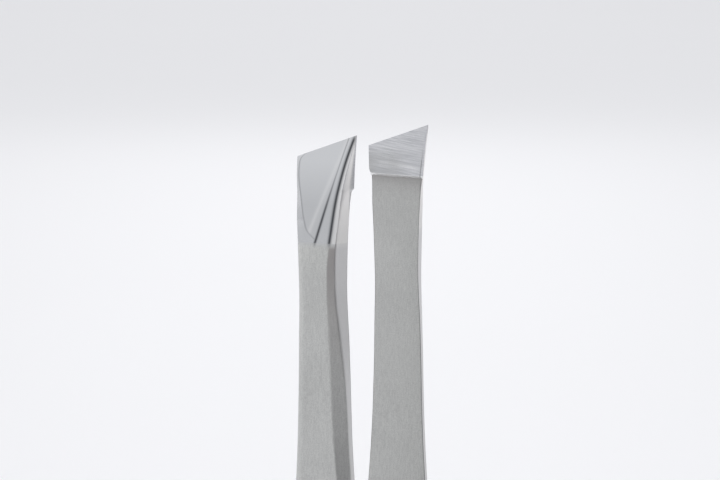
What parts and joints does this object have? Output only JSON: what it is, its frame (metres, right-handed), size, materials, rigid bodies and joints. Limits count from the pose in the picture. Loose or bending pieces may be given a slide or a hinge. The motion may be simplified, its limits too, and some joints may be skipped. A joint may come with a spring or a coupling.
{
  "type": "slant tweezers",
  "caption": "Slim steel tweezers with slanted, ground jaws, wide finger grips and a rounded welded heel; the sprung arms close when pinched.",
  "frame": {"origin": "middle of the heel's flat end, on the plane between the two arms", "axes": "+Z from the heel to the tips, X the way the arms open and close, Y across the arms' width, with the jaws' tall corners at -Y"},
  "size_m": [0.0104, 0.0094, 0.095],
  "materials": {
    "satin_steel": "satin stainless steel, ground and polished at the jaws",
    "weld_metal": "as-cast spot weld metal, hidden between the heels"
  },
  "bodies": {
    "heel": {"left_arm_tail": "satin_steel", "right_arm_tail": "satin_steel", "rear_weld_nugget": "weld_metal", "front_weld_nugget": "weld_metal"},
    "left_arm": {"left_arm_blade": "satin_steel"},
    "right_arm": {"right_arm_blade": "satin_steel"}
  },
  "joints": [
    {"name": "left_arm_flex", "type": "hinge", "parent": "heel", "child": "left_arm", "pos_m": [-0.00156, 0, 0.025], "axis": [0, 1, 0], "range_deg": [0, 3.27], "stiffness_Nm_per_rad": 2.5},
    {"name": "right_arm_flex", "type": "hinge", "parent": "heel", "child": "right_arm", "pos_m": [0.00156, 0, 0.025], "axis": [0, -1, 0], "range_deg": [0, 3.27], "stiffness_Nm_per_rad": 2.5}
  ]
}
